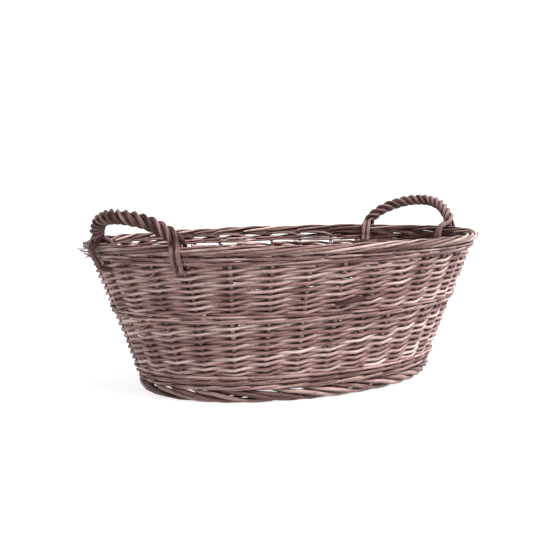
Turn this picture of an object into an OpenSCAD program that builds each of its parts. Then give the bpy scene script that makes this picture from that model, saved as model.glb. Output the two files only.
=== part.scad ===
// Oval wicker log basket with two roped bow handles.
// Origin: on the ground, under the middle of the basket. +X along its length, +Z up.

/* [Basket] */
// Length of the basket over its rim, without the handles
basket_l = 620; // [612:4:632]
// Width of the basket over its rim
basket_w = 492; // [484:4:500]
// Height of the rim above the ground
rim_h = 200; // [190:1:215]
// How far the wall leans out between the ground and the rim
splay = 78; // [66:1:84]
// Thickness of the woven wall, measured level
wall_t = 14; // [13:0.5:15]

/* [Rods] */
// Number of upright stakes, an even number
stake_count = 34; // [32:2:36]
// Thickness of a stake
stake_d = 6; // [5:0.5:6.5]
// Thickness of a stake's cut butt inside the base
butt_d = 4.6; // [4:0.2:4.8]
// Length of a stake's butt inside the base
butt_l = 34; // [24:1:40]
// Thickness of a foot peg
peg_d = 4.4; // [3.6:0.2:5]
// Play between a rod and the weave around it
play = 0.1; // [0.05:0.05:0.2]

/* [Bands, from the ground up] */
// Height of the plaited border that the basket stands on
foot_h = 13; // [11:0.5:14]
// Width of the foot border
foot_w = 18; // [17:0.5:20]
// Open gap between the foot border and the bottom wale
foot_gap = 2; // [1:0.5:4]
// Height of the bottom wale
bottom_wale_h = 21; // [19:0.5:22]
// Height of the siding below the middle wale
lower_siding_h = 67; // [60:1:69]
// Height of the middle wale
middle_wale_h = 12; // [10:0.5:13]
// Height of the top wale
top_wale_h = 12.5; // [10:0.5:13]
// Height of the rolled border on the rim
border_h = 12.5; // [12:0.5:14]
// Width of the rolled border
border_w = 20; // [19:0.5:21]
// Width of the three wales
wale_w = 17; // [16:0.5:18]

/* [Base] */
// Thickness of the woven base
base_t = 11; // [10:0.5:12]
// Thickness of a cross stick, which the long sticks pass through
cross_stick_d = 9; // [8:0.5:9]
// Thickness of a long stick
long_stick_d = 5; // [4:0.5:5]
// Number of cross sticks
cross_sticks = 9; // [7:2:9]
// Number of long sticks
long_sticks = 8; // [4:2:8]
// Distance between neighbouring cross sticks
cross_pitch = 36; // [30:1:40]

/* [Handles] */
// Thickness of the rod at the heart of a handle
bow_d = 8; // [7:0.5:8]
// Gap between the foot of a bow and the stake beside it
bow_beside = 1.4; // [1:0.1:2]
// Height of the left handle's middle line above the rim, along its lean
left_bow_rise = 45.5; // [44:0.5:50]
// Height of the right handle's middle line above the rim, along its lean
right_bow_rise = 51; // [48:0.5:54]
// How far a handle's top leans out past the wall's own lean, as a share of its rise
bow_flare = 0.42; // [0.2:0.02:0.5]
// Radius of the bend at each shoulder of a handle
shoulder_r = 18; // [16:1:22]
// Length of straight bow between the rim and the shoulder
bow_straight = 2; // [1:0.5:4]
// Length of each leg of the bow inside the wall
bow_leg = 75; // [60:1:78]
// Thickness of a strand of the rope
strand_t = 4.6; // [4:0.2:4.8]
// Width of a strand of the rope
strand_w = 7; // [6.4:0.2:7.4]
// Turns that each strand makes over the handle, so that its ends fall inside and outside
strand_turns = 3.5; // [2.5:1:4.5]

/* [Hidden] */

willow = [0.50, 0.37, 0.34];
dark_willow = [0.36, 0.26, 0.25];
pale_willow = [0.62, 0.48, 0.43];

// The rim's outline is four arcs: two ends and two flatter sides. The arcs' middles make right
// triangles with sides of 3, 4 and 5 parts, so the arcs meet exactly, at equal tangents.
part = (basket_l - basket_w) / 4;
end_c = 3 * part;
side_c = 4 * part;
end_r = basket_l / 2 - end_c;
side_r = end_r + 5 * part;
join = atan2(4, 3);
oval_fn = 144;
rod_fn = 24;

// How far the wall's outer face stands out from the rim's outline at height z.
function lean(z) = -splay * (1 - z / rim_h);
slope = atan(splay / rim_h);

// Heights of the bands.
bottom_wale_z = foot_h + foot_gap;
lower_siding_z = bottom_wale_z + bottom_wale_h;
middle_wale_z = lower_siding_z + lower_siding_h;
upper_siding_z = middle_wale_z + middle_wale_h;
border_z = rim_h - border_h;
top_wale_z = border_z - top_wale_h;

// Stakes are spaced evenly along the wall's middle line at half height.
spacing_out = lean(rim_h / 2) - wall_t / 2;
end_run = (end_r + spacing_out) * join * PI / 180;
side_run = (side_r + spacing_out) * (90 - join) * PI / 180;
lap = 4 * (end_run + side_run);

// Angle of the outward direction at run s along the wall, counted from the +X end.
function first_turn(s) =
    s < end_run ? s / end_run * join : join + (s - end_run) / side_run * (90 - join);
function turn(s) =
    s < lap / 4 ? first_turn(s)
    : s < lap / 2 ? 180 - first_turn(lap / 2 - s)
    : 180 + turn(s - lap / 2);

// Puts its children at angle a of the rim's outline, with +X pointing straight out.
module at_turn(a) {
    on_end = abs(cos(a)) > cos(join);
    middle = on_end ? [sign(cos(a)) * end_c, 0, 0] : [0, -sign(sin(a)) * side_c, 0];
    translate(middle) rotate(a) translate([on_end ? end_r : side_r, 0, 0]) children();
}

module around_stakes(shift) {
    for (k = [0 : stake_count - 1]) at_turn(turn((k + 0.5 + shift) * lap / stake_count)) children();
}

// A wedge that starts at a point and holds one arc of the oval. Its edges run along the joins.
module wedge(middle, along, across) {
    reach = 2 * basket_w / part;
    linear_extrude(2 * rim_h, center = true) polygon([
        middle,
        middle + reach * part * (along + across) / 5,
        middle + reach * part * (along - across) / 5
    ]);
}

// Sweeps a profile, drawn as [out from the rim's outline, height], round the whole oval.
module round_oval() {
    for (way = [-1, 1]) {
        intersection() {
            translate([way * end_c, 0, 0]) rotate_extrude($fn = oval_fn) translate([end_r, 0]) children();
            wedge([way * end_c, 0], [way * 3, 0], [0, 4]);
        }
        intersection() {
            translate([0, -way * side_c, 0]) rotate_extrude($fn = oval_fn) translate([side_r, 0]) children();
            wedge([0, -way * side_c], [0, way * 4], [3, 0]);
        }
    }
}

// The rim's outline moved out by grow, as a filled shape.
module oval(grow) {
    for (side = [-1, 1]) translate([side * end_c, 0]) circle(end_r + grow, $fn = oval_fn);
    intersection() {
        translate([0, side_c]) circle(side_r + grow, $fn = oval_fn);
        translate([0, -side_c]) circle(side_r + grow, $fn = oval_fn);
        square([2 * (end_c + (end_r + grow) * cos(join)), basket_w], center = true);
    }
}

// One round of thick rods: a bar with round edges, w wide and h high, on the wall's middle line.
module round_bar(w, h, z) {
    translate([lean(z + h / 2) - wall_t / 2, z + h / 2]) {
        square([w - h, h], center = true);
        for (side = [-1, 1]) translate([side * (w - h) / 2, 0]) circle(d = h, $fn = rod_fn);
    }
}

// Neighbouring rounds bed into each other a little.
module wale(z, h, rounds) {
    bed = 0.6;
    round_h = (h + (rounds - 1) * bed) / rounds;
    round_oval() for (i = [0 : rounds - 1]) round_bar(wale_w, round_h, z + i * (round_h - bed));
}

module siding(z, h) {
    round_oval() polygon([
        [lean(z) - wall_t, z],
        [lean(z), z],
        [lean(z + h), z + h],
        [lean(z + h) - wall_t, z + h]
    ]);
}

// A rod that follows the wall's lean along its middle line between two heights.
module leaning_rod(d, z_low, z_high) {
    translate([lean(z_low) - wall_t / 2, 0, z_low]) rotate([0, slope, 0])
        cylinder(d = d, h = (z_high - z_low) / cos(slope), $fn = rod_fn);
}

// Stakes, as rods or as the holes they stand in.
base_mid_z = bottom_wale_z + base_t / 2;
stake_sunk = 6;

module stake_shafts(grow) {
    around_stakes(0)
        leaning_rod(stake_d + 2 * grow, base_mid_z - stake_d / 2 - grow, border_z + stake_sunk + grow);
}

// The butts start on the shafts' middle lines and are cut thinner.
module stake_butts(grow) {
    around_stakes(0) translate([lean(base_mid_z) - wall_t / 2, 0, base_mid_z]) rotate([0, -90, 0])
        cylinder(d = butt_d + 2 * grow, h = butt_l + grow, $fn = rod_fn);
}

module side_stakes() {
    color(dark_willow) {
        stake_shafts(0);
        stake_butts(0);
    }
}

// Foot pegs stand halfway between the stakes and carry the foot border.
peg_low = foot_h / 3;
peg_high = lower_siding_z - bottom_wale_h / 3;

module pegs(grow) {
    around_stakes(0.5) leaning_rod(peg_d + 2 * grow, peg_low - grow, peg_high + grow);
}

module foot_pegs() {
    color(dark_willow) pegs(0);
}

module foot_border() {
    color(willow) difference() {
        round_oval() round_bar(foot_w, foot_h, 0);
        pegs(play);
    }
}

module bottom_wale() {
    color(willow) difference() {
        wale(bottom_wale_z, bottom_wale_h, 3);
        stake_shafts(play);
        stake_butts(play);
        pegs(play);
    }
}

module lower_siding() {
    color(willow) difference() {
        siding(lower_siding_z, lower_siding_h);
        stake_shafts(play);
    }
}

module middle_wale() {
    color(dark_willow) difference() {
        wale(middle_wale_z, middle_wale_h, 2);
        stake_shafts(play);
    }
}

module upper_siding() {
    color(willow) difference() {
        siding(upper_siding_z, top_wale_z - upper_siding_z);
        stake_shafts(play);
        bow_legs(play);
    }
}

module top_wale() {
    color(willow) difference() {
        wale(top_wale_z, top_wale_h, 2);
        stake_shafts(play);
        bow_legs(play);
    }
}

module top_border() {
    color(pale_willow) difference() {
        round_oval() round_bar(border_w, border_h, border_z);
        stake_shafts(play);
        bow_legs(play);
    }
}

// The base fills the bottom wale. Its sticks stop short of the stakes' butts.
base_out = lean(bottom_wale_z + bottom_wale_h / 6) - (wall_t + wale_w) / 2 - 2 * play;
stick_out = base_out - butt_l + play;
long_pitch = 1.6 * long_stick_d;

module inside_base() {
    intersection() {
        children();
        translate([0, 0, bottom_wale_z]) linear_extrude(base_t) oval(stick_out);
    }
}

module cross_rods(grow) {
    for (i = [0 : cross_sticks - 1])
        translate([(i - (cross_sticks - 1) / 2) * cross_pitch, basket_w / 2, base_mid_z]) rotate([90, 0, 0])
            cylinder(d = cross_stick_d + 2 * grow, h = basket_w, $fn = rod_fn);
}

module long_rods(grow) {
    for (i = [0 : long_sticks - 1])
        translate([-basket_l / 2, (i - (long_sticks - 1) / 2) * long_pitch, base_mid_z]) rotate([0, 90, 0])
            cylinder(d = long_stick_d + 2 * grow, h = basket_l, $fn = rod_fn);
}

module base_cross_sticks() {
    color(pale_willow) difference() {
        inside_base() cross_rods(0);
        long_rods(play);
    }
}

module base_long_sticks() {
    color(pale_willow) inside_base() long_rods(0);
}

module base_weave() {
    color(willow) difference() {
        translate([0, 0, bottom_wale_z]) linear_extrude(base_t) oval(base_out);
        inside_base() cross_rods(play);
        inside_base() long_rods(play);
        stake_butts(play);
    }
}

// Handles. Every foot of a bow stands close beside the second stake from the basket's end. Both
// feet of the left bow are on the near sides of their stakes, the right bow's are one near, one far.
bow_low_r = end_r - wall_t / 2 - bow_leg * sin(slope);
second_stake = turn(1.5 * lap / stake_count);
beside = ((stake_d + bow_d) / 2 + bow_beside) / bow_low_r * 180 / PI;

// What is known about a bow. Its plane leans like the wall: in it, u runs along Y and v up the lean.
// The arch is a flat crown between two shoulder bends, and the legs run down inside the wall.
SIDE = 0;
MIDDLE_TURN = 1;
HALF_TURN = 2;
RISE = 3;
FOOT_U = 4;
PLANE_LEAN = 5;
LEG_SPREAD = 6;
SHOULDER = 7;
CROWN_R = 8;
CROWN_TURN = 9;
CROWN_RUN = 10;
BEND_RUN = 11;

function bow_shape(side, middle_turn, half_turn, rise) =
    let (
        foot_u = (end_r - wall_t / 2) * sin(half_turn),
        plane_lean = atan(tan(slope) * cos(half_turn)),
        leg_spread = atan(tan(slope) * sin(half_turn) * cos(plane_lean)),
        shoulder_u = foot_u + bow_straight * sin(leg_spread) - shoulder_r * cos(leg_spread),
        shoulder_v = bow_straight * cos(leg_spread) + shoulder_r * sin(leg_spread),
        drop = shoulder_v - rise,
        crown_r = (pow(shoulder_r, 2) - pow(shoulder_u, 2) - pow(drop, 2)) / (2 * (drop + shoulder_r)),
        crown_turn = atan2(shoulder_u, drop + crown_r),
        crown_run = crown_r * crown_turn * PI / 180,
        bend_run = crown_run + shoulder_r * (90 + leg_spread - crown_turn) * PI / 180
    )
    [
        side, middle_turn, half_turn, rise, foot_u, plane_lean, leg_spread,
        [shoulder_u, shoulder_v, 0], crown_r, crown_turn, crown_run, bend_run
    ];

left_bow = bow_shape(-1, 0, second_stake - beside, left_bow_rise);
right_bow = bow_shape(1, -beside, second_stake, right_bow_rise);

// Moves a bow from its own plane to its place on the rim.
module on_rim(b) {
    rotate(b[SIDE] > 0 ? 0 : 180)
        translate([end_c, 0, 0]) rotate(b[MIDDLE_TURN])
        translate([(end_r - wall_t / 2) * cos(b[HALF_TURN]), 0, rim_h]) rotate([0, b[PLANE_LEAN], 0])
        rotate([90, 0, 90]) children();
}

module bow_leg_rod(b, grow) {
    translate([b[FOOT_U], 0, 0]) rotate(-b[LEG_SPREAD]) translate([0, -bow_leg - grow, 0]) rotate([-90, 0, 0])
        cylinder(d = bow_d + 2 * grow, h = bow_leg + bow_straight + grow, $fn = rod_fn);
}

module bow_legs(grow) {
    for (b = [left_bow, right_bow]) on_rim(b) {
        bow_leg_rod(b, grow);
        mirror([1, 0, 0]) bow_leg_rod(b, grow);
    }
}

function unit(v) = v / norm(v);

// The bow's heading and middle line at run s from its top, and the directions across it.
function heading(b, s) =
    s < b[CROWN_RUN] ? s / b[CROWN_R] * 180 / PI
    : s < b[BEND_RUN] ? b[CROWN_TURN] + (s - b[CROWN_RUN]) / shoulder_r * 180 / PI
    : 90 + b[LEG_SPREAD];
function half_line(b, s) =
    let (a = heading(b, s), away = [sin(a), cos(a), 0])
    s < b[CROWN_RUN] ? [0, b[RISE] - b[CROWN_R], 0] + b[CROWN_R] * away
    : b[SHOULDER] + shoulder_r * away + max(0, s - b[BEND_RUN]) * [cos(a), -sin(a), 0];
function flip(p, s) = [sign(s) * p[0], p[1], p[2]];
function flared(b, p) = p + [0, 0, bow_flare * pow(max(0, p[1]), 2) / b[RISE]];
function line_at(b, s) = flared(b, flip(half_line(b, abs(s)), s));
function away_at(b, s) = let (a = heading(b, abs(s))) flip([sin(a), cos(a), 0], s);
function level_at(b, s) = unit(cross(line_at(b, s + 0.5) - line_at(b, s - 0.5), away_at(b, s)));

// Each strand winds round the bow, then leaves it to straddle the border and ends under the top wale.
strand_gap = 0.15;
unwind_run = 14;
winding_r = bow_d / 2 + strand_t / 2 + strand_gap;
straddle_r = border_w / 2 + strand_t / 2 + 1;
wale_r = wale_w / 2 + strand_t / 2 + 0.6;
below_border = border_h + 3;
below_wale = below_border + top_wale_h;
strand_leg = below_wale + 6;
strand_side = strand_w / 2 + 0.3;
ring_step = 4.4;
section_sides = 8;
bow_sides = 12;

function leg_start(b) = b[BEND_RUN] + bow_straight;
function wind_end(b) = leg_start(b) - unwind_run;
function ease(x) = let (c = min(1, max(0, x))) c * c * (3 - 2 * c);
function winding(b, s, i) = 45 + 90 * i + 180 * strand_turns * max(-1, min(1, s / wind_end(b)));
function leg_out(down) =
    straddle_r + (wale_r - straddle_r) * ease((down - below_border) / 6)
    - (wale_r - wall_t / 2 - strand_t / 2 - strand_gap) * ease((down - below_wale) / 5);

// Outward direction of the wall at a foot, seen in the bow's plane, and the direction along the wall.
function wall_out(b, s) = [sign(s) * sin(b[HALF_TURN]), 0, cos(b[HALF_TURN])];
function wall_along(b, s) = [sign(s) * cos(b[HALF_TURN]), 0, -sin(b[HALF_TURN])];

function unwound(b, s) = ease((abs(s) - wind_end(b)) / unwind_run);
function strand_away(b, s, i) =
    let (a = winding(b, s, i)) cos(a) * away_at(b, s) + sin(a) * level_at(b, s);
function strand_point(b, s, i) =
    let (
        a = winding(b, s, i),
        down = abs(s) - leg_start(b),
        out = sign(sin(a)) * leg_out(down) * wall_out(b, s),
        on_leg = out + sign(cos(a)) * strand_side * wall_along(b, s),
        w = unwound(b, s)
    )
    line_at(b, s) + (1 - w) * winding_r * strand_away(b, s, i) + w * on_leg;
function strand_thick_way(b, s, i) =
    let (w = unwound(b, s))
    (1 - w) * strand_away(b, s, i) + w * sign(sin(winding(b, s, i))) * wall_out(b, s);

function strand_ring(b, s, i) =
    let (
        p = strand_point(b, s, i),
        t = unit(strand_point(b, s + 0.5, i) - strand_point(b, s - 0.5, i)),
        wide = unit(cross(t, strand_thick_way(b, s, i))),
        thick = cross(wide, t)
    )
    [for (j = [0 : section_sides - 1])
        let (a = 360 * (j + 0.5) / section_sides)
        p + strand_w / 2 * cos(a) * wide + strand_t / 2 * sin(a) * thick];

// A closed skin over a row of rings with n points each.
module skin(rings, n) {
    last = len(rings) - 1;
    sides = [for (k = [0 : last - 1], j = [0 : n - 1])
        let (a = k * n + j, b = k * n + (j + 1) % n) each [[a, b, b + n], [a, b + n, a + n]]];
    caps = [[for (j = [n - 1 : -1 : 0]) j], [for (j = [0 : n - 1]) last * n + j]];
    polyhedron([for (ring = rings) each ring], concat(sides, caps));
}

module handle_strand(b, i) {
    strand_end = leg_start(b) + strand_leg;
    steps = ceil(2 * strand_end / ring_step);
    color(dark_willow) on_rim(b)
        skin([for (k = [0 : steps]) strand_ring(b, strand_end * (2 * k / steps - 1), i)], section_sides);
}

function bow_ring(b, s) =
    [for (j = [0 : bow_sides - 1])
        let (a = 360 * (j + 0.5) / bow_sides)
        line_at(b, s) + bow_d / 2 * (cos(a) * away_at(b, s) + sin(a) * level_at(b, s))];

// The bow's bends in even steps, between its two straight legs.
module handle_bow(b) {
    steps = ceil(2 * b[BEND_RUN] / ring_step);
    bends = [for (k = [0 : steps]) bow_ring(b, b[BEND_RUN] * (2 * k / steps - 1))];
    bow_end = leg_start(b) + bow_leg;
    color(dark_willow) on_rim(b)
        skin(concat([bow_ring(b, -bow_end)], bends, [bow_ring(b, bow_end)]), bow_sides);
}

module left_handle_bow() { handle_bow(left_bow); }
module left_handle_strand_1() { handle_strand(left_bow, 0); }
module left_handle_strand_2() { handle_strand(left_bow, 1); }
module left_handle_strand_3() { handle_strand(left_bow, 2); }
module left_handle_strand_4() { handle_strand(left_bow, 3); }
module right_handle_bow() { handle_bow(right_bow); }
module right_handle_strand_1() { handle_strand(right_bow, 0); }
module right_handle_strand_2() { handle_strand(right_bow, 1); }
module right_handle_strand_3() { handle_strand(right_bow, 2); }
module right_handle_strand_4() { handle_strand(right_bow, 3); }

base_cross_sticks();
base_long_sticks();
base_weave();
side_stakes();
foot_pegs();
foot_border();
bottom_wale();
lower_siding();
middle_wale();
upper_siding();
top_wale();
top_border();
left_handle_bow();
left_handle_strand_1();
left_handle_strand_2();
left_handle_strand_3();
left_handle_strand_4();
right_handle_bow();
right_handle_strand_1();
right_handle_strand_2();
right_handle_strand_3();
right_handle_strand_4();
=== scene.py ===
import math
import bpy
import numpy as np
from mathutils import Matrix, Vector


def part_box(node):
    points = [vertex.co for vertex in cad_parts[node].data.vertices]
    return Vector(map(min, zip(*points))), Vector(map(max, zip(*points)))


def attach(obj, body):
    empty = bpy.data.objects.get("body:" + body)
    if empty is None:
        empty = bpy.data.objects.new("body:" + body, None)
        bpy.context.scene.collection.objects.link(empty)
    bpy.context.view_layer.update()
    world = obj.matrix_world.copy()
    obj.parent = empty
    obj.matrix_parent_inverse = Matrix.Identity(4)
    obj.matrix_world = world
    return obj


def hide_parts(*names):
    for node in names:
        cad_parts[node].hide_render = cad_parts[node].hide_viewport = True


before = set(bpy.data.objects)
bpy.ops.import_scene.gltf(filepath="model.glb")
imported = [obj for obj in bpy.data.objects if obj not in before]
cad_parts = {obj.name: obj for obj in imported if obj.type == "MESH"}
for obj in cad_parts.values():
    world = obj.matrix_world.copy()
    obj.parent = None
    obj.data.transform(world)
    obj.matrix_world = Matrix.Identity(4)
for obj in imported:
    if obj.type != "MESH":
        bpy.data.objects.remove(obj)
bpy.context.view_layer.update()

MM = 0.001

# ---------------------------------------------------------------- sizes, in millimetres
STAKES = 34
SPLAY = 78.0  # how far the wall leans out over its whole height
WALL_T = 14.0
STAKE_D = 6.0
RIM_L = 620.0
RIM_W = 492.0


def heights(node):
    """Lowest and highest level of a CAD node."""
    low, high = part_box(node)
    return low[2] / MM, high[2] / MM


def width(node):
    """Size of a CAD node across the basket."""
    low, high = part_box(node)
    return (high[1] - low[1]) / MM


TOP_WALE_Z = heights("top_wale")
BORDER_Z = heights("top_border")
BASE_MID_Z = sum(heights("base_weave")) / 2
RIM_H = BORDER_Z[1]
SLOPE = math.atan(SPLAY / RIM_H)

# The rim's outline is four arcs. Their middles make right triangles of 3, 4 and 5 parts.
PART = (RIM_L - RIM_W) / 4
END_C, SIDE_C = 3 * PART, 4 * PART
END_R = RIM_L / 2 - END_C
SIDE_R = END_R + 5 * PART
JOIN = math.atan2(4, 3)  # outward direction where an end's arc meets a side's


def lean(z):
    """How far the wall's outer face stands out from the rim's outline at height z."""
    return -SPLAY * (1 - z / RIM_H)


# The stakes are evenly spaced along the wall's middle surface at half its height.
SPACING_OUT = lean(RIM_H / 2) - WALL_T / 2
END_RUN = (END_R + SPACING_OUT) * JOIN
SIDE_RUN = (SIDE_R + SPACING_OUT) * (math.pi / 2 - JOIN)
QUARTER = END_RUN + SIDE_RUN
LAP = 4 * QUARTER


def wall_frame(u):
    """Middle of the arc, its radius at the rim and the outward direction at u stakes round the wall."""
    s = (np.asarray(u, float) / STAKES * LAP) % LAP
    k = np.floor(s / QUARTER).astype(int)
    t = s - k * QUARTER
    t = np.where(k % 2 == 1, QUARTER - t, t)
    a = np.where(t < END_RUN, t / END_RUN * JOIN, JOIN + (t - END_RUN) / SIDE_RUN * (math.pi / 2 - JOIN))
    turn = np.choose(k % 4, [a, math.pi - a, math.pi + a, 2 * math.pi - a])
    on_end = t < END_RUN
    cx = np.where(on_end, np.sign(np.cos(turn)) * END_C, 0.0)
    cy = np.where(on_end, 0.0, -np.sign(np.sin(turn)) * SIDE_C)
    return cx, cy, np.where(on_end, END_R, SIDE_R), np.cos(turn), np.sin(turn)


def on_oval(u, grow, z):
    """Points at u stakes round, grow outside the rim's outline, at height z."""
    cx, cy, r, c, s = wall_frame(u)
    return np.stack(np.broadcast_arrays(cx + (r + grow) * c, cy + (r + grow) * s, z), axis=-1)


def on_wall(u, out, z):
    """Points at u stakes round, out from the wall's middle surface, at height z."""
    return on_oval(u, lean(z) - WALL_T / 2 + out, z)


def outward(u):
    _, _, _, c, s = wall_frame(u)
    return np.stack([c, s, 0 * c], axis=-1)


def along(u):
    """Direction round the wall."""
    return np.cross([0, 0, 1], outward(u))


def far_side(u):
    """0 on the wall's near side, 1 on its far side, and smoothly between them at the ends."""
    return ease((outward(u)[..., 1] + 0.1) * 2)


def stakes_to(degrees):
    """How many stakes round the wall an outward direction lies, for turns up to half a circle."""
    turn = math.radians(degrees)
    a = min(turn, math.pi - turn)
    run = a / JOIN * END_RUN if a < JOIN else END_RUN + (a - JOIN) / (math.pi / 2 - JOIN) * SIDE_RUN
    return (run if turn <= math.pi / 2 else LAP / 2 - run) / LAP * STAKES


# ---------------------------------------------------------------- curves
def ease(x):
    """Smoothly from 0 to 1."""
    c = np.clip(x, 0, 1)
    return c * c * (3 - 2 * c)


def unit(v):
    return v / (np.linalg.norm(v, axis=-1, keepdims=True) + 1e-12)


def softened(values):
    """Evenly spaced values with their corners rounded off."""
    weights = np.hanning(7)[1:-1]
    return np.convolve(np.pad(values, 2, mode="edge"), weights / weights.sum(), "valid")


def smooth_curve(keys):
    """A Catmull-Rom curve through key points, in seven steps from each to the next."""
    keys = np.asarray(keys, float)
    k = np.vstack([2 * keys[0] - keys[1], keys, 2 * keys[-1] - keys[-2]])
    t = np.linspace(0, 1, 7, endpoint=False)[:, None]
    rows = []
    for a, b, c, d in zip(k, k[1:], k[2:], k[3:]):
        rows.append(0.5 * (2 * b + (c - a) * t + (2 * a - 5 * b + 4 * c - d) * t**2
                           + (3 * b - a - 3 * c + d) * t**3))
    return np.vstack([*rows, keys[-1]])


# ---------------------------------------------------------------- rods
# Painted shade, mixed into the rods' colour through the shade attribute: how far it darkens a rod's side that
# faces the weave's middle, how far it darkens undersides, and how much of the cut ends' colour it leaves.
INNER_PAINTED_SHADE = 0.92  # how dark the side of a rod is that faces the weave's middle, at most
UNDER_PAINTED_SHADE = 0.75  # how dark an underside is
CAP_LIGHT = 0.8  # how light the rods' cut ends are


class Bundle:
    """Round rods gathered into one mesh, with each rod's own tone, grain direction and bake layout."""

    def __init__(self, seed, sides):
        self.rng = np.random.default_rng(seed)
        self.sides = sides
        self.rods = []

    def wobble(self, u, size, wave):
        """Slow random waviness along u, of about the given size and wavelength."""
        out = 0
        for octave in (1.0, 2.3):
            phase = self.rng.uniform(0, 2 * math.pi)
            out = out + np.sin(2 * math.pi * u / wave * octave + phase) / octave
        return out * size * 0.7

    def tone(self):
        """A rod's tone, from 0 (dark) to 1 (pale), seldom near either."""
        return self.rng.beta(1.6, 1.6)

    def add(self, points, radius, away, tone=None, core=0.0):
        """points: n x 3, radius and tone: number or n values, away: n x 3 directions that set where the seam
        lies, core: n x 3 vectors out of the weave's middle, whose sheltered side gets painted shade."""
        n = len(points)
        if tone is None:
            tone = self.tone()
        radius, tone = (np.broadcast_to(np.asarray(value, float), (n,)) for value in (radius, tone))
        away, core = (np.broadcast_to(np.asarray(value, float), (n, 3)) for value in (away, core))
        self.rods.append((points, radius, away, tone, core, self.rng.uniform(0, 50)))

    def skin(self, points, radius, away, core, shift):
        """Rings of points round one rod, their grain coordinates, how far each point is clear of the painted
        shade, and the steps between the rings."""
        turn = 2 * math.pi * (np.arange(self.sides) + 0.5) / self.sides
        run = np.r_[0, np.cumsum(np.linalg.norm(np.diff(points, axis=0), axis=1))]
        tangent = unit(np.gradient(points, axis=0))
        side = unit(np.cross(tangent, away))
        front = np.cross(side, tangent)
        normal = np.cos(turn)[None, :, None] * front[:, None] + np.sin(turn)[None, :, None] * side[:, None]
        uneven = 1 + 0.035 * np.sin(run / 7.3 + shift) + 0.03 * np.sin(run / 2.9 + 3 * shift)
        rings = points[:, None] + (radius * uneven)[:, None, None] * normal
        grain = np.stack([np.repeat(run[:, None] + shift * 100, self.sides, 1),
                          radius[:, None] * np.cos(turn), radius[:, None] * np.sin(turn)], axis=-1)
        # Painted shade, darkest on the side that faces the weave's middle and on the underside.
        depth = np.linalg.norm(core, axis=1)[:, None]
        inward = -(normal * core[:, None]).sum(2) / np.maximum(depth, 1e-6)
        under = np.clip(-normal[..., 2], 0, 1)
        clear_of_painted_shade = 1 - INNER_PAINTED_SHADE * np.minimum(depth, 1) * ease((inward + 0.72) / 0.88)
        return rings, grain, clear_of_painted_shade * (1 - UNDER_PAINTED_SHADE * under), np.diff(run)

    def mesh(self, name):
        """Every rod as a tube with a flat cap at each end, the tubes' faces before the caps."""
        m = self.sides
        corner = np.arange(m)
        verts, grains, shades, tones, cuts, quads, caps, steps = [], [], [], [], [], [], [], []
        base = 0
        for points, radius, away, tone, core, shift in self.rods:
            n = len(points)
            rings, grain, shade, step = self.skin(points, radius, away, core, shift)
            cap_rings = [0, n - 1]
            verts += [rings.reshape(-1, 3), rings[cap_rings].reshape(-1, 3)]
            grains += [grain.reshape(-1, 3), grain[cap_rings].reshape(-1, 3)]
            shades += [shade.ravel(), np.full(2 * m, CAP_LIGHT)]
            tones += [np.repeat(tone, m), np.repeat(tone[cap_rings], m)]
            cuts += [np.zeros(n * m), np.ones(2 * m)]
            steps.append(step)
            low = np.arange(n - 1)[:, None] * m + base
            after = (corner + 1) % m
            quads.append(np.stack([low + m + corner, low + m + after, low + after, low + corner], axis=-1))
            base += n * m
            caps += [corner + base, (corner + base + m)[::-1]]
            base += 2 * m
        quads = np.vstack([q.reshape(-1, 4) for q in quads])
        loops = np.concatenate([quads.ravel(), *caps])
        starts = np.concatenate([np.arange(len(quads)) * 4, len(quads) * 4 + np.arange(len(caps)) * m])
        verts = np.vstack(verts) * MM
        mesh = bpy.data.meshes.new(name)
        mesh.vertices.add(len(verts))
        mesh.vertices.foreach_set("co", verts.ravel().astype(np.float32))
        mesh.loops.add(len(loops))
        mesh.loops.foreach_set("vertex_index", loops.astype(np.int32))
        mesh.polygons.add(len(starts))
        mesh.polygons.foreach_set("loop_start", starts.astype(np.int32))
        mesh.update(calc_edges=True)
        mesh.polygons.foreach_set("use_smooth", np.arange(len(starts)) < len(quads))
        # The shade attribute carries the painted shade, which the willow material mixes into the colour; the
        # cut ends get a light, even share of it.
        for title, kind, key, values in (("tone", "FLOAT", "value", np.concatenate(tones)),
                                         ("cut", "FLOAT", "value", np.concatenate(cuts)),
                                         ("shade", "FLOAT", "value", np.concatenate(shades)),
                                         ("grain", "FLOAT_VECTOR", "vector", np.vstack(grains).ravel() * MM)):
            layer = mesh.attributes.new(title, kind, "POINT")
            layer.data.foreach_set(key, values.astype(np.float32))
        self.unroll(mesh, np.concatenate(steps), len(caps))
        mesh.validate()
        mesh.update()
        return mesh

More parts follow.
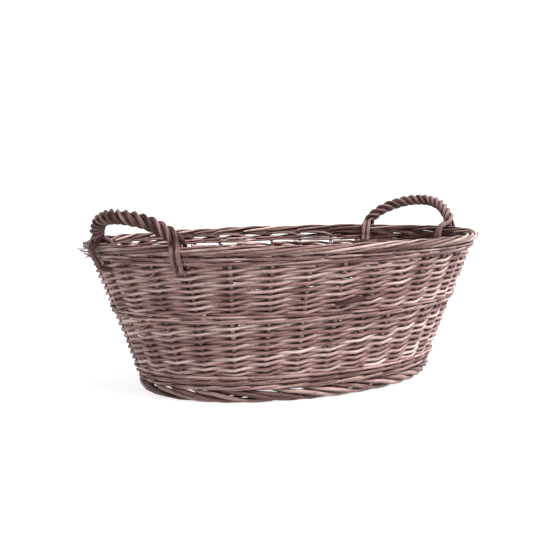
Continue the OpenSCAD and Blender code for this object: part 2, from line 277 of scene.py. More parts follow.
    def unroll(self, mesh, steps, cap_count):
        """Lays every rod's skin out flat, in rows across a square, and then the caps, for baking."""
        m = self.sides
        girth = 2 * math.pi * max(float(radius.max()) for _, radius, *_ in self.rods)
        margin = 1.2  # between rows and between caps, in millimetres of skin
        row = girth + margin
        cap_d = girth / 3
        total = steps.sum() + cap_count * (cap_d + margin)
        square = math.sqrt(total * row) * 1.03  # with a little room for the rows' ragged ends
        limit = square - margin - max(steps.max(), cap_d)
        sizes = np.r_[steps, np.full(cap_count, cap_d + margin)]
        place = np.empty((len(sizes), 2))
        x, y = margin, 0.0
        for i, size in enumerate(sizes):
            if x > limit:
                x, y = margin, y + row
            place[i] = x, y
            x += size
        x0, y0 = np.repeat(place[:len(steps)], m, axis=0).T
        x1 = x0 + np.repeat(steps, m)
        y0 = y0 + np.tile(np.arange(m), len(steps)) * girth / m
        y1 = y0 + girth / m
        tubes = np.stack([x1, y0, x1, y1, x0, y1, x0, y0], axis=-1).reshape(-1, 2)
        turn = 2 * math.pi * np.arange(m) / m
        disc = cap_d / 2 + cap_d * 0.45 * np.stack([np.cos(turn), np.sin(turn)], -1)
        discs = (place[len(steps):, None] + disc).reshape(-1, 2)
        layer = mesh.uv_layers.new(name="OFBake")
        spots = np.vstack([tubes, discs]) / max(square, y + row)
        layer.data.foreach_set("uv", np.clip(spots, 0, 1).ravel().astype(np.float32))

    def build(self, node, material, slot):
        """One piece, named after the CAD node that it replaces."""
        name = node.capitalize()
        piece = bpy.data.objects.new(name, self.mesh(name))
        bpy.context.scene.collection.objects.link(piece)
        piece.data.materials.append(material)
        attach(piece, "root")
        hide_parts(node)


# ---------------------------------------------------------------- willow
CUT_FACE = (0.45, 0.33, 0.26)
# Colour of the painted shade on the rods' sheltered sides and undersides; it also darkens the knot's outer
# face.
DEEP_SHADE = (0.034, 0.0085, 0.0075)


def willow(name, dark, mid, pale):
    """Weathered brown willow: a tone for each rod, streaks along the grain, blotches and small flecks, and
    painted shade mixed in from the shade attribute.
    """
    mat = bpy.data.materials.new(name)
    mat.use_nodes = True
    nodes, links = mat.node_tree.nodes, mat.node_tree.links
    shader = nodes["Principled BSDF"]
    shader.inputs["Specular IOR Level"].default_value = 0.2

    def node(kind, **values):
        made = nodes.new(kind)
        for key, value in values.items():
            setattr(made, key, value)
        return made

    def maths(kind, a, b, clamp=False):
        made = node("ShaderNodeMath", operation=kind, use_clamp=clamp)
        links.new(a, made.inputs[0])
        if isinstance(b, float):
            made.inputs[1].default_value = b
        else:
            links.new(b, made.inputs[1])
        return made.outputs[0]

    def noise(scale, stretch, detail, roughness, distortion=0.0):
        """stretch: below 1, the noise is drawn out along the rod."""
        place = node("ShaderNodeVectorMath", operation="MULTIPLY")
        links.new(grain.outputs["Vector"], place.inputs[0])
        place.inputs[1].default_value = (stretch, 1, 1)
        made = node("ShaderNodeTexNoise")
        made.inputs["Scale"].default_value = scale
        made.inputs["Detail"].default_value = detail
        made.inputs["Roughness"].default_value = roughness
        made.inputs["Distortion"].default_value = distortion
        links.new(place.outputs[0], made.inputs["Vector"])
        return made.outputs["Fac"]

    def mix(share, a, b):
        """Colour a where the share is 0, b where it is 1."""
        made = node("ShaderNodeMix", data_type="RGBA")
        links.new(share, made.inputs["Factor"])
        for key, colour in (("A", a), ("B", b)):
            if isinstance(colour, tuple):
                made.inputs[key].default_value = (*colour, 1)
            else:
                links.new(colour, made.inputs[key])
        return made.outputs["Result"]

    grain, tone, cut, shade = (node("ShaderNodeAttribute", attribute_name=title)
                               for title in ("grain", "tone", "cut", "shade"))
    streaks = noise(520, 0.06, 5, 0.68, 0.4)
    blotches = noise(60, 0.35, 3, 0.55)
    flecks = noise(420, 0.5, 3, 0.7)
    value = maths("MULTIPLY", tone.outputs["Fac"], 0.75)
    for pattern, strength in ((streaks, 1.5), (blotches, 0.7), (flecks, 0.5)):
        value = maths("ADD", value, maths("MULTIPLY", maths("SUBTRACT", pattern, 0.5), strength))
    ramp = node("ShaderNodeValToRGB")
    stops = ramp.color_ramp.elements
    stops[0].position, stops[0].color = 0.05, (*dark, 1)
    stops[1].position, stops[1].color = 0.95, (*pale, 1)
    stops.new(0.5).color = (*mid, 1)
    links.new(maths("ADD", value, 0.16, clamp=True), ramp.inputs["Fac"])
    bark = mix(cut.outputs["Fac"], ramp.outputs["Color"], CUT_FACE)
    # Painted shade: the colour runs to DEEP_SHADE where the shade attribute is low.
    links.new(mix(shade.outputs["Fac"], DEEP_SHADE, bark), shader.inputs["Base Color"])
    links.new(maths("ADD", maths("MULTIPLY", flecks, 0.3), 0.35), shader.inputs["Roughness"])
    bump = node("ShaderNodeBump")
    bump.inputs["Strength"].default_value = 0.35
    bump.inputs["Distance"].default_value = 0.0006
    links.new(maths("ADD", streaks, maths("MULTIPLY", flecks, 0.5)), bump.inputs["Height"])
    links.new(bump.outputs["Normal"], shader.inputs["Normal"])
    return mat


SIDING = willow("siding_willow", (0.135, 0.060, 0.054), (0.42, 0.248, 0.231), (0.81, 0.63, 0.585))
WALE = willow("wale_willow", (0.09, 0.037, 0.034), (0.275, 0.150, 0.140), (0.62, 0.43, 0.40))
BORDER = willow("border_willow", (0.085, 0.036, 0.031), (0.245, 0.142, 0.127), (0.64, 0.47, 0.435))
FOOT = willow("foot_willow", (0.058, 0.024, 0.022), (0.19, 0.100, 0.094), (0.52, 0.35, 0.328))
STAKE = willow("stake_willow", (0.13, 0.068, 0.060), (0.35, 0.208, 0.191), (0.66, 0.465, 0.42))
BASE = willow("base_willow", (0.09, 0.050, 0.042), (0.28, 0.172, 0.150), (0.52, 0.36, 0.32))
STICK = willow("stick_willow", (0.10, 0.056, 0.044), (0.30, 0.19, 0.16), (0.52, 0.37, 0.32))
ROPE = willow("rope_willow", (0.034, 0.0145, 0.0135), (0.092, 0.047, 0.044), (0.29, 0.18, 0.17))
# The bow is coloured darker than the strands: painted shade for the bottoms of the grooves between them,
# where it shows.
BOW = willow("bow_willow", (0.03, 0.015, 0.013), (0.07, 0.04, 0.037), (0.14, 0.085, 0.08))

# ---------------------------------------------------------------- stakes and foot pegs
BUTT_L = 34.0  # from the wall's middle surface into the base
BUTT_D = 4.6
PEG_D = 4.4
STAKE_TIP_D = 5.0


def stakes():
    """Each stake's butt lies in the base, and the rest stands in the wall up into the border."""
    bundle = Bundle(11, sides=10)
    z = np.linspace(BASE_MID_Z, BORDER_Z[0] + 1, 40)
    inner = np.linspace(BUTT_L, 4, 6)
    radius = np.r_[np.full(len(inner), BUTT_D / 2), np.linspace(STAKE_D / 2, STAKE_TIP_D / 2, len(z))]
    for place in np.arange(STAKES) + 0.5:
        u = place + bundle.wobble(z, 0.012, 90)
        upright = on_wall(u, bundle.wobble(z, 0.3, 120), z)
        butt = on_wall(place, -inner, BASE_MID_Z)
        bundle.add(np.vstack([butt, upright]), radius, along(place), bundle.rng.uniform(0.15, 0.75))
    bundle.build("side_stakes", STAKE, "stake")


def pegs():
    bundle = Bundle(12, sides=10)
    z = np.linspace(*heights("foot_pegs"), 9)
    for place in np.arange(STAKES) + 1.0:
        bundle.add(on_wall(place, 0, z), PEG_D / 2, along(place))
    bundle.build("foot_pegs", STAKE, "stake")


# ---------------------------------------------------------------- siding: French rand
SIDING_D = 4.9
SIDING_PITCH = 7.6  # between the rods in front of the same stake
PRESSED = 1.15  # how far a rod sinks into the stakes that it passes


def woven_core(u, front):
    """The core for the painted shade: out of the wall for the part in front of the stakes (front > 0), into
    it for the part behind.
    """
    return outward(u) * (0.95 * ease(front * 1.2 + 0.2) - 0.8 * ease((-front - 0.3) / 0.7))[:, None]


def in_and_out(t):
    """1 in front of a stake, at even t, -1 behind one, at odd t, and nearly straight between them."""
    sharp = 0.97
    return np.arcsin(sharp * np.cos(math.pi * t)) / math.asin(sharp)


def dip(t):
    """Height above an even climb, from 0 to 1: a sharp dip in front of a stake, a soft one behind."""
    phase = (t + 0.5) % 2 - 0.5
    before = 1 - (1 - 2 * np.minimum(np.abs(phase), 0.5)) ** 1.5
    behind = 1 - 0.75 * np.cos(math.pi * (phase - 1)) ** 2
    return np.where(np.abs(phase) < 0.5, np.sqrt(before**2 + 0.004), behind)


def siding(node, seed, loose):
    """One rod starts at each stake and climbs, in front of one stake and behind the next.
    loose: how far the rods' middles may stray above their place in the top row."""
    bundle = Bundle(seed, sides=8)
    rng = bundle.rng
    low, high = heights(node)
    reach = STAKE_D / 2 + SIDING_D / 2 - PRESSED
    climb = high - low - SIDING_D
    last = 2 * climb / SIDING_PITCH
    for first in np.arange(STAKES) + 0.5:
        # t counts stakes along the rod from its first one
        start = -0.75 + rng.uniform(-0.12, 0.12)
        end = last + 1.1 + rng.uniform(-0.4, 0.5) - 0.7 * far_side(first + last)
        t = np.arange(start, end, 1 / 11)
        radius = SIDING_D / 2 * np.interp(t, [start, end], [1.03, 0.98]) * rng.uniform(0.92, 1.07)
        out = reach * in_and_out(t) + bundle.wobble(t, 0.35, 2.7)
        share = np.clip(t / last, -0.1, 1.1)
        z = low + SIDING_D / 2 + climb * (0.88 * share + 0.12 * share**2) + bundle.wobble(t, 0.5, 3.1)
        lift = 1.8 + bundle.wobble(t, 0.75, 2.0)
        z = np.clip(z + dip(t) * lift - 1.2, low + SIDING_D / 2 - 1.0, high - SIDING_D / 2 + loose)
        u = first + t
        bundle.add(on_wall(u, out, z), radius, -outward(u), core=woven_core(u, out / reach))
    return bundle


def knot(bundle, start, low, high):
    """A dark, knotty stub of a rod that climbs over the space between two stakes, proud of the weave."""
    t = np.linspace(0, 1, 22)
    u = start + t
    out = 7.6 - 3.4 * np.abs(2 * t - 1) ** 3
    z = np.interp(t, [0, 0.4, 1], [low, low + 1.6, high])
    radius = 2.6 * (0.55 + 0.45 * np.sin(math.pi * t)) * (1 + 0.12 * np.sin(23 * t))
    bundle.add(on_wall(u, out, z), radius, -outward(u), tone=0.1, core=-outward(u))


def sidings():
    siding("lower_siding", 21, loose=1.0).build("lower_siding", SIDING, "siding_rod")
    upper = siding("upper_siding", 22, loose=2.4)
    knot(upper, 22.35, 124.5, 131.0)
    upper.build("upper_siding", SIDING, "siding_rod")


# ---------------------------------------------------------------- wales
# One rod's way past three stakes, as a share of that way, and where it lies there: how far out, where 1
# touches the front of a stake and -1 the back of one, and how far above its even climb, in rounds.
WALE_SHARE = (-0.10, 0.0, 0.10, 0.22, 0.36, 0.5, 0.66, 0.78, 0.88, 1.0, 1.10)
WALE_OUT = (-0.6, -1, -0.6, 0.45, 0.92, 1.0, 1.28, 1.1, 0.2, -1, -0.6)
WALE_RISE = (0.2, 0.0, -0.25, -0.36, -0.26, -0.06, 0.22, 0.36, 0.3, 0.0, -0.25)


def wale(node, rounds, rod_d, seed, far_gap=0.0):
    """Three rods at a time, each in front of two stakes and behind one, climbing as they go round.
    far_gap: how much higher the band starts on the far side."""
    bundle = Bundle(seed, sides=9)
    rng = bundle.rng
    low, high = heights(node)
    high -= 0.25 * far_gap
    band = high - low
    round_h = band / rounds
    reach = STAKE_D / 2 + rod_d / 2
    last = STAKES * rounds
    for m in range(3):
        start = m - 3
        while start < last:
            end = min(start + 3 * rng.integers(5, 9), last + m)
            u = np.arange(start - 0.35, end + 0.4, 1 / 10)
            share = ((u - m) / 3) % 1
            out = softened(np.interp(share, WALE_SHARE, WALE_OUT)) * reach + bundle.wobble(u, 0.5, 3.7)
            rise = softened(np.interp(share, WALE_SHARE, WALE_RISE)) * round_h * 0.8
            z = round_h * (np.clip(u, 0, last) / STAKES + 0.15) + rise + bundle.wobble(u, 0.4, 3.3)
            z = np.clip(z, rod_d / 2 - 0.2, band - rod_d / 2 + 0.2)
            place = u + 0.5
            gap = far_gap * far_side(place) * (0.8 + 0.35 * np.sin(2.1 * u))
            z = high - (band - z) * (1 - gap / band)
            radius = rod_d / 2 * np.interp(u, [start, end], [1.1, 0.88]) * rng.uniform(0.94, 1.05)
            bundle.add(on_wall(place, out, z), radius, -outward(place), core=woven_core(place, out / reach))
            start = end
    bundle.build(node, WALE, "wale_rod")


def wales():
    wale("bottom_wale", 3, 3.9, 31)
    wale("middle_wale", 2, 3.7, 32)
    wale("top_wale", 2, 3.3, 33, far_gap=2.6)


# ---------------------------------------------------------------- borders
def half_width(node):
    """Half the thickness of a border's ring, from the CAD node's width."""
    middle = RIM_W / 2 + lean(sum(heights(node)) / 2) - WALL_T / 2
    return width(node) / 2 - middle


def rolled(bundle, start, keys, centre_z, radii):
    """Adds a rod that winds round a border, through keys of (stakes on, out from the wall, height)."""
    u, out, z = smooth_curve([(start + on, out, z) for on, out, z in keys]).T
    z = z + bundle.wobble(u, 0.3, 2.3)
    out = out + bundle.wobble(u, 0.35, 2.1)
    share = np.linspace(0, 1, len(u))
    radius = np.interp(share, [0, 0.3, 0.94, 1], [*radii, radii[-1] * 0.55]) * bundle.rng.uniform(0.92, 1.07)
    z = np.maximum(z, radius * 1.07 + 0.05)
    # Painted shade on the side of the rod that faces the border's middle, fading in over the first fifth of
    # the rod.
    core = outward(u) * out[:, None] + np.array([0, 0, 1.0]) * (z - centre_z)[:, None]
    core /= np.maximum(np.linalg.norm(core, axis=1), 5.0)[:, None]
    bundle.add(on_wall(u, out, z), radius, -outward(u), core=core * ease(share * 5)[:, None])


def frayed_ends(bundle, count, places, levels, lengths, thick):
    """Thin rod tips that have come loose at an end of the rim."""
    rng = bundle.rng
    t = np.linspace(0, 1, 14)
    for _ in range(count):
        u = rng.uniform(*places)
        z = rng.uniform(*levels)
        length = rng.uniform(*lengths)
        rise = rng.uniform(-0.5, 0.5) * length * t**2 + rng.uniform(-2, 2) * np.sin(math.pi * t)
        drift = rng.uniform(-0.25, 0.25) * t
        radius = np.interp(t, [0, 1], [1.3, 0.6]) * thick
        bundle.add(on_wall(u + drift, 4 + length * t, z + rise), radius, (0, 0, 1), rng.uniform(0.1, 0.8))


# A top border rod's way over the border: stakes on, turn in degrees from straight out, and extra size.
BORDER_ROLL = ((1.0, -108, 0), (1.55, -72, 0), (2.1, -42, 0), (2.7, -10, 0), (3.3, 22, 0),
               (3.9, 55, 0.3), (4.5, 90, 1.0), (5.1, 126, 0.3), (5.7, 160, 0), (6.1, 185, -0.5))


def top_border():
    bundle = Bundle(41, sides=10)
    low, high = heights("top_border")
    centre = (low + high) / 2
    rod_d = 4.5
    half_out = half_width("top_border") - rod_d / 2
    half_z = (high - low) / 2 - rod_d / 2 + 0.3
    for k in range(STAKES):
        shift = bundle.rng.uniform(-0.12, 0.12)
        proud = bundle.rng.uniform(-1.5, 0.7)
        # up beside the rod's own stake, then behind the next one and over
        keys = [(0.0, 0.0, low - 4), (0.15, -0.5, low - 0.5), (0.5, -3.0, low + 1.8)]
        for on, degrees, grow in BORDER_ROLL:
            turn = math.radians(degrees)
            rise = (half_z + grow + proud * 0.7) * math.sin(turn)
            keys.append((on + shift, (half_out + grow + proud) * math.cos(turn), centre + rise))
        rolled(bundle, k + 0.5, keys, centre, [rod_d * 0.5, rod_d * 0.5, rod_d * 0.41])
    frayed_ends(bundle, 10, (stakes_to(118), stakes_to(152)), (172, 192), (8, 16), 0.9)
    frayed_ends(bundle, 9, (-stakes_to(62), -stakes_to(36)), (176, 197), (5, 10), 0.65)
    bundle.build("top_border", BORDER, "border_rod")


# A foot border rod's way: stakes on, then how far out and how high, in half widths and heights of the foot.
# The rods that start at OPEN_FOOT stop where the way turns in, so that gaps show over the foot.
FOOT_ROLL = ((0.3, 0.75, 1.08), (0.8, 1.08, 0.9), (1.3, 1.12, 0.62), (1.8, 0.9, 0.38), (2.3, 0.45, 0.24),
             (2.8, -0.15, 0.2), (3.3, -0.7, 0.4), (3.8, -0.98, 0.66), (4.3, -1.05, 0.88),
             (4.8, -1.08, 1.0), (5.3, -1.08, 1.06))
OPEN_FOOT = (10, 11, 12, 15, 16)
OPEN_KEYS = 8


def foot_border():
    bundle = Bundle(42, sides=10)
    low, high = heights("foot_border")
    rod_d = 6.2
    half_out = half_width("foot_border") - rod_d / 2
    for k in range(STAKES):
        shift = bundle.rng.uniform(-0.16, 0.16)
        grow = bundle.rng.uniform(0.92, 1.12)
        # out of the bottom wale and down
        keys = [(-0.3, -2.0, high + 6.0), (-0.05, 0.4, high + 3.4)]
        for on, out, z in FOOT_ROLL[:OPEN_KEYS] if k in OPEN_FOOT else FOOT_ROLL:
            keys.append((on + shift, half_out * out * grow, high * z))
        rolled(bundle, k + 1.0, keys, (low + high) / 2, [rod_d * 0.46, rod_d * 0.5, rod_d * 0.42])
    bundle.build("foot_border", FOOT, "foot_rod")


# ---------------------------------------------------------------- base
BASE_ROD_D = 4.4
BASE_PITCH = 4.05
BASE_EDGE = (width("base_weave") - RIM_W) / 2 - BASE_ROD_D / 2  # outermost round, from the rim's outline
BASE_INNER = 34.0 - END_R  # innermost whole round: 34 from the middles of the ends' arcs
CROSS_STICK_D = 5.8
LONG_STICK_D = 5.4
LONG_STICKS = 8
LONG_STICK_PITCH = 6.4


def spoke(u):
    """Points on the base's middle, from its edge in to the innermost whole round, towards stake u."""
    return on_oval(u + 0.5, np.linspace(BASE_EDGE - 6, BASE_INNER, 14), BASE_MID_Z)


def cross_sticks():
    """One straight across for each stake of the sides' arcs. Returns the distance between their middles."""
    bundle = Bundle(51, sides=10)
    middles = []
    for u in range(STAKES):
        _, _, radius, _, far = wall_frame(u + 0.5)
        if radius == SIDE_R and far > 0:
            upper = spoke(u)
            lower = upper * (1, -1, 1)
            middle = np.linspace(upper[-1], lower[-1], 16)[1:-1]
            middles.append(upper[-1][0])
            points = np.vstack([upper, middle, lower[::-1]])
            bundle.add(points, CROSS_STICK_D / 2, (0, 0, 1), bundle.rng.uniform(0.4, 0.9))
    bundle.build("base_cross_sticks", STICK, "base_stick")
    return abs(middles[0] - middles[1])


def long_sticks():
    """Side by side through the cross sticks, and spread out to the ends' stakes."""
    bundle = Bundle(52, sides=10)
    mirror = (-1, 1, 1)
    for i in range(LONG_STICKS):
        right = spoke(i - LONG_STICKS // 2)
        left = (right * mirror)[::-1]
        y = (i - (LONG_STICKS - 1) / 2) * LONG_STICK_PITCH
        near = np.array([[END_C - 14, y, BASE_MID_Z], [END_C - 60, y, BASE_MID_Z]])
        path = smooth_curve(np.vstack([right[::4], near, (near * mirror)[::-1], left[::4]]))
        bundle.add(path, LONG_STICK_D / 2, (0, 0, 1), bundle.rng.uniform(0.4, 0.9))
    bundle.build("base_long_sticks", STICK, "base_stick")


def base_weave(stick_pitch):
    bundle = Bundle(53, sides=7)

    def lay(points):
        bundle.add(points, BASE_ROD_D / 2 * bundle.rng.uniform(0.92, 1.05), (0, 0, -1))

    def over(row):
        """Odd rows go over where even rows go under."""
        return 1 if row % 2 else -1

    # whole rounds, from the edge in, over and under the spokes
    u = np.arange(0, STAKES + 0.01, 1 / 9)
    _, _, radius, _, _ = wall_frame(u)
    for row in range(int((BASE_EDGE - BASE_INNER) / BASE_PITCH) + 1):
        grow = BASE_EDGE - row * BASE_PITCH + bundle.wobble(u, 0.25, 5.5)
        room = (radius + grow) / (radius + SPACING_OUT)
        height = 4.1 * np.clip(room * 1.25, 0.35, 1)
        lay(on_oval(u, grow, BASE_MID_Z + over(row) * height * np.cos(math.pi * (u - 0.5))))
    # half rounds inside them, at each end
    turn = np.linspace(-math.pi / 2, math.pi / 2, 40)
    for row in range(1, 7):
        r = END_R + BASE_INNER - row * BASE_PITCH
        z = BASE_MID_Z + over(row) * 3.2 * np.cos(turn / math.pi * 16)
        for way in (-1, 1):
            lay(np.stack([way * (END_C + r * np.cos(turn)), r * np.sin(turn), z], axis=-1))
    # rods across the middle, over and under the cross sticks
    inner_r = SIDE_R + BASE_INNER
    for row, y in enumerate(np.arange(27.5, inner_r - SIDE_C - 2, BASE_PITCH)):
        reach = math.sqrt(inner_r**2 - (y + SIDE_C) ** 2)
        x = np.arange(-reach - 3, reach + 3, 2.6)
        z = BASE_MID_Z + over(row) * 4.4 * np.cos(math.pi * x / stick_pitch)
        for way in (-1, 1):
            lay(np.stack([x, 0 * x + way * y, z], axis=-1))
    bundle.build("base_weave", BASE, "base_rod")


def base():
    stick_pitch = cross_sticks()
    long_sticks()
    base_weave(stick_pitch)


# ---------------------------------------------------------------- roped handles
BOW_D = 8.0
BOW_FLARE = 0.42  # how far the arch bends out of its plane at the top, as a share of its rise
SHOULDER_R = 18.0
BOW_STRAIGHT = 2.0  # of each leg above the rim
BOW_LEG = 75.0  # of each leg in the wall
BOW_BESIDE = 1.4  # between a leg and the stake beside it
STRAND_T = 4.6
STRAND_W = 7.0
STRAND_TURNS = 3.5  # half turns from the top of the arch to where the winding ends
UNWIND_RUN = 11.0
# Painted highlight: the strands' colour grows paler where they run straight down the legs.
LEG_PALER = 0.3  # how much paler the strands grow where they run straight down the legs
BORDER_T = 20.0
TOP_WALE_T = 17.0

# Outward direction at the second stake from the middle of an end, and the turn from a stake to a leg.
SECOND_STAKE = 1.5 * LAP / STAKES / END_RUN * JOIN
BESIDE = ((STAKE_D + BOW_D) / 2 + BOW_BESIDE) / (END_R - WALL_T / 2 - BOW_LEG * math.sin(SLOPE))

# How far a strand's middle lies from the bow's, where it is wound, beside the border and beside the wale.
WINDING_R = BOW_D / 2 + STRAND_T / 2 + 0.15
STRADDLE_R = BORDER_T / 2 + STRAND_T / 2 + 1
WALE_R = TOP_WALE_T / 2 + STRAND_T / 2 + 0.6

# Runs down a leg from the rim to just below the border and just below the top wale.
BELOW_BORDER = BORDER_Z[1] - BORDER_Z[0] + 3
BELOW_WALE = BELOW_BORDER + TOP_WALE_Z[1] - TOP_WALE_Z[0]


class Bow:
    """The rod at the heart of a handle. Its plane leans like the wall: u runs along Y, v up the lean."""

    def __init__(self, side, middle_turn, half_turn, rise):
        self.side, self.middle_turn, self.half_turn, self.rise = side, middle_turn, half_turn, rise
        foot_u = (END_R - WALL_T / 2) * math.sin(half_turn)
        self.plane_lean = math.atan(math.tan(SLOPE) * math.cos(half_turn))
        spread = math.atan(math.tan(SLOPE) * math.sin(half_turn) * math.cos(self.plane_lean))
        self.shoulder = np.array([foot_u + BOW_STRAIGHT * math.sin(spread) - SHOULDER_R * math.cos(spread),
                                  BOW_STRAIGHT * math.cos(spread) + SHOULDER_R * math.sin(spread), 0])
        drop = self.shoulder[1] - rise
        self.crown_r = (SHOULDER_R**2 - self.shoulder[0] ** 2 - drop**2) / (2 * (drop + SHOULDER_R))
        self.crown_turn = math.atan2(self.shoulder[0], drop + self.crown_r)
        self.crown_run = self.crown_r * self.crown_turn
        self.leg_heading = math.pi / 2 + spread
        self.bend_run = self.crown_run + SHOULDER_R * (self.leg_heading - self.crown_turn)
        self.leg_start = self.bend_run + BOW_STRAIGHT
        self.wind_end = self.leg_start - UNWIND_RUN + 3

    def line(self, s):
        """Middle line at runs s from the top, and the direction away from the arch's inside."""
        run = np.abs(s)
        bend = self.crown_turn + (run - self.crown_run) / SHOULDER_R
        heading = np.where(run < self.crown_run, run / self.crown_r, np.minimum(bend, self.leg_heading))
        away = np.stack([np.sin(heading), np.cos(heading), 0 * heading], axis=-1)
        down = np.stack([np.cos(heading), -np.sin(heading), 0 * heading], axis=-1)
        crown = np.array([0, self.rise - self.crown_r, 0]) + self.crown_r * away
        leg = self.shoulder + SHOULDER_R * away + np.maximum(0, run - self.bend_run)[:, None] * down
        point = np.where((run < self.crown_run)[:, None], crown, leg)
        point[:, 2] += BOW_FLARE * np.maximum(0, point[:, 1]) ** 2 / self.rise
        flip = np.stack([np.where(s < 0, -1.0, 1.0), 1 + 0 * s, 1 + 0 * s], axis=-1)
        return point * flip, away * flip

    def level(self, s):
        """Direction across the arch's plane."""
        chord = self.line(s + 0.5)[0] - self.line(s - 0.5)[0]
        return unit(np.cross(chord, self.line(s)[1]))

    def place(self, points, turn_only=False):
        """From the bow's plane to its end of the basket."""
        u, v, w = points.T
        c, s = math.cos(self.plane_lean), math.sin(self.plane_lean)
        x, z = v * s + w * c, v * c - w * s
        if not turn_only:
            x = x + (END_R - WALL_T / 2) * math.cos(self.half_turn)
            z = z + RIM_H
        c, s = math.cos(self.middle_turn), math.sin(self.middle_turn)
        x, y = x * c - u * s, x * s + u * c
        if not turn_only:
            x = x + END_C
        return np.stack([self.side * x, self.side * y, z], axis=-1)

    def on_leg(self, s):
        """0 where the strands are wound round the bow, 1 where they run straight down its legs."""
        return ease((np.abs(s) - self.wind_end) / UNWIND_RUN)[:, None]

    def strand(self, s, i):
        """Middle of strand i at runs s, and the direction of its thickness."""
        wind = np.radians(45 + 90 * i) + math.pi * STRAND_TURNS * np.clip(s / self.wind_end, -1, 1)
        point, away = self.line(s)
        wound = np.cos(wind)[:, None] * away + np.sin(wind)[:, None] * self.level(s)
        sign = np.where(s < 0, -1.0, 1.0)
        half = self.half_turn
        wall_out = np.stack([sign * math.sin(half), 0 * s, math.cos(half) + 0 * s], axis=-1)
        wall_along = np.stack([sign * math.cos(half), 0 * s, -math.sin(half) + 0 * s], axis=-1)
        down = np.abs(s) - self.leg_start
        tail = ease((down - BELOW_WALE) / 10)  # the ends dive into the weave
        leg = STRADDLE_R + (WALE_R - STRADDLE_R) * ease((down - BELOW_BORDER) / 6) - (WALE_R + 2) * tail
        out_sign = np.sign(np.sin(wind))[:, None]
        beside = np.sign(np.cos(wind)) * (STRAND_W / 2 + 0.3) + sign * 6 * tail
        straight = out_sign * leg[:, None] * wall_out + beside[:, None] * wall_along
        on_leg = self.on_leg(s)
        thick = unit((1 - on_leg) * wound + on_leg * out_sign * wall_out)
        return point + (1 - on_leg) * WINDING_R * wound + on_leg * straight, thick


def handle(word, bow, seed, plump, pale, depth):
    """A bow and its four strands of three rods. plump: how far each strand's third rod stands out on the
    other two, pale: how much paler all are than plain rope, depth: how dark the painted shade makes their
    sheltered sides."""
    heart = Bundle(seed, sides=12)
    reach = bow.leg_start + BOW_LEG
    heart.add(bow.place(bow.line(np.arange(-reach, reach, 3.0))[0]), BOW_D / 2, (1, 0, 0), 0.4)
    heart.build(f"{word}_handle_bow", BOW, "bow_rod")
    end = bow.leg_start + BELOW_WALE + 12
    s = np.arange(-end, end, 1.7)
    on_leg = bow.on_leg(s)
    for i in range(4):
        strand = Bundle(seed + 1 + i, sides=9)
        middle, thick = bow.strand(s, i)
        wide = unit(np.cross(np.gradient(middle, axis=0), thick))
        core = bow.place(thick, turn_only=True)
        for across, rise, rod_d in ((-1.7, -0.7, 3.1), (1.7, -0.7, 3.1), (0.1, plump, 3.6)):
            radius = rod_d / 2 * strand.rng.uniform(0.94, 1.08)
            path = middle + wide * (across + strand.wobble(s, 0.3, 37))[:, None]
            path = path + thick * (rise + strand.wobble(s, 0.25, 29))[:, None]
            # Painted highlight: paler tone down the legs.
            tone = strand.tone() + pale + LEG_PALER * on_leg[:, 0]
            # Painted shade on the strands' sheltered sides, weaker down the legs.
            strand.add(bow.place(path), radius, -core, tone, core * (depth - 0.95 * on_leg))
        strand.build(f"{word}_handle_strand_{i + 1}", ROPE, "rope_rod")


# ---------------------------------------------------------------- the basket
stakes()
pegs()
sidings()
wales()
top_border()
foot_border()
base()
handle("right", Bow(1, -BESIDE, SECOND_STAKE, 51.0), 61, 0.6, 0.5, 1.1)
handle("left", Bow(-1, 0.0, SECOND_STAKE - BESIDE, 45.5), 71, 1.3, 0.05, 1.25)


# ---------------------------------------------------------------- floor, light and camera, in metres
BACKDROP = (0.762, 0.647, 0)  # the way the camera looks, about which the world is bright
TARGET = (0.3, 0, 0.19)  # the right end of the rim


def floor():
    """A wide pale disc that glows a little, so that it stays nearly white."""
    n, radius = 64, 40
    turn = 2 * math.pi * np.arange(n) / n
    mesh = bpy.data.meshes.new("Floor")
    mesh.from_pydata([(radius * math.cos(t), radius * math.sin(t), 0) for t in turn], [], [list(range(n))])
    piece = bpy.data.objects.new("Floor", mesh)
    bpy.context.scene.collection.objects.link(piece)
    mat = bpy.data.materials.new("floor_white")
    mat.use_nodes = True
    shader = mat.node_tree.nodes["Principled BSDF"]
    shader.inputs["Base Color"].default_value = (0.4, 0.4, 0.4, 1)
    shader.inputs["Roughness"].default_value = 0.9
    shader.inputs["Emission Color"].default_value = (1, 1, 1, 1)
    shader.inputs["Emission Strength"].default_value = 0.82
    mesh.materials.append(mat)


def lamp(data, place, target, power):
    data.energy = power
    made = bpy.data.objects.new(data.name, data)
    made.location = place
    made.rotation_euler = (Vector(target) - Vector(place)).to_track_quat("-Z", "Y").to_euler()
    bpy.context.scene.collection.objects.link(made)


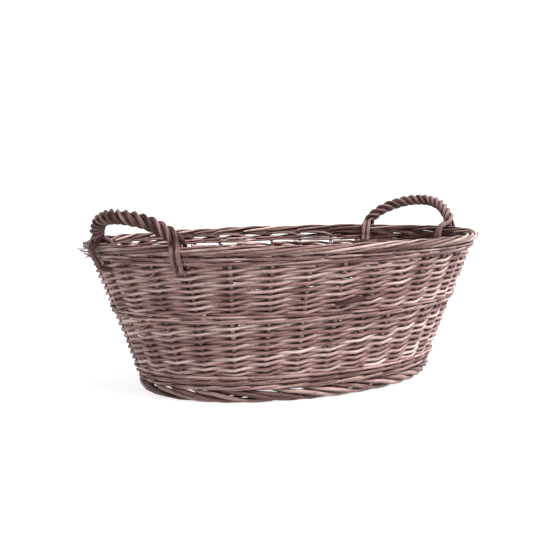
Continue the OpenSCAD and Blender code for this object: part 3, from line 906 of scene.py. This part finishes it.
def studio():
    """A bright white backdrop behind the basket, dimmer walls elsewhere, a soft key from above."""
    world = bpy.data.worlds.new("Studio")
    bpy.context.scene.world = world
    world.use_nodes = True
    nodes, links = world.node_tree.nodes, world.node_tree.links
    sky = nodes["Background"]
    sky.inputs["Color"].default_value = (1, 1, 1, 1)
    where = nodes.new("ShaderNodeTexCoord")
    toward = nodes.new("ShaderNodeVectorMath")
    toward.operation = "DOT_PRODUCT"
    toward.inputs[1].default_value = BACKDROP
    fade = nodes.new("ShaderNodeMapRange")
    for key, value in (("From Min", 0.3), ("From Max", 0.75), ("To Min", 0.22), ("To Max", 1.05)):
        fade.inputs[key].default_value = value
    links.new(where.outputs["Generated"], toward.inputs[0])
    links.new(toward.outputs["Value"], fade.inputs["Value"])
    links.new(fade.outputs["Result"], sky.inputs["Strength"])
    key_light = bpy.data.lights.new("Key", "SUN")
    key_light.angle = 0.6
    lamp(key_light, (-0.1, -1.0, 1.5), (0, 0, 0), 4.3)
    softbox = bpy.data.lights.new("Right_softbox", "AREA")
    softbox.shape = "SQUARE"
    softbox.size = 0.7
    lamp(softbox, (1.0, -0.6, 0.85), TARGET, 14)


def camera():
    """Low in front of the basket's left end, a little above the rim."""
    yaw, distance, height = -0.8855, 1.6534, 0.2836
    pan, tilt, roll = -0.01888, 0.07795, -0.01314
    back = Vector((math.sin(yaw), -math.cos(yaw), 0))
    sideways = Vector((math.cos(yaw), math.sin(yaw), 0))
    ahead = -back * math.cos(pan) + sideways * math.sin(pan)
    sideways = sideways * math.cos(pan) + back * math.sin(pan)
    ahead = ahead * math.cos(tilt) - Vector((0, 0, 1)) * math.sin(tilt)
    up = sideways.cross(ahead)
    right = sideways * math.cos(roll) + up * math.sin(roll)
    up = up * math.cos(roll) - sideways * math.sin(roll)
    data = bpy.data.cameras.new("Camera")
    data.sensor_width = 36
    data.lens = 79.254
    made = bpy.data.objects.new("Camera", data)
    axes = Matrix((right, up, -ahead)).transposed().to_4x4()
    made.matrix_world = Matrix.Translation(back * distance + Vector((0, 0, height))) @ axes
    bpy.context.scene.collection.objects.link(made)
    bpy.context.scene.camera = made


floor()
studio()
camera()
bpy.context.scene.view_settings.view_transform = "Standard"
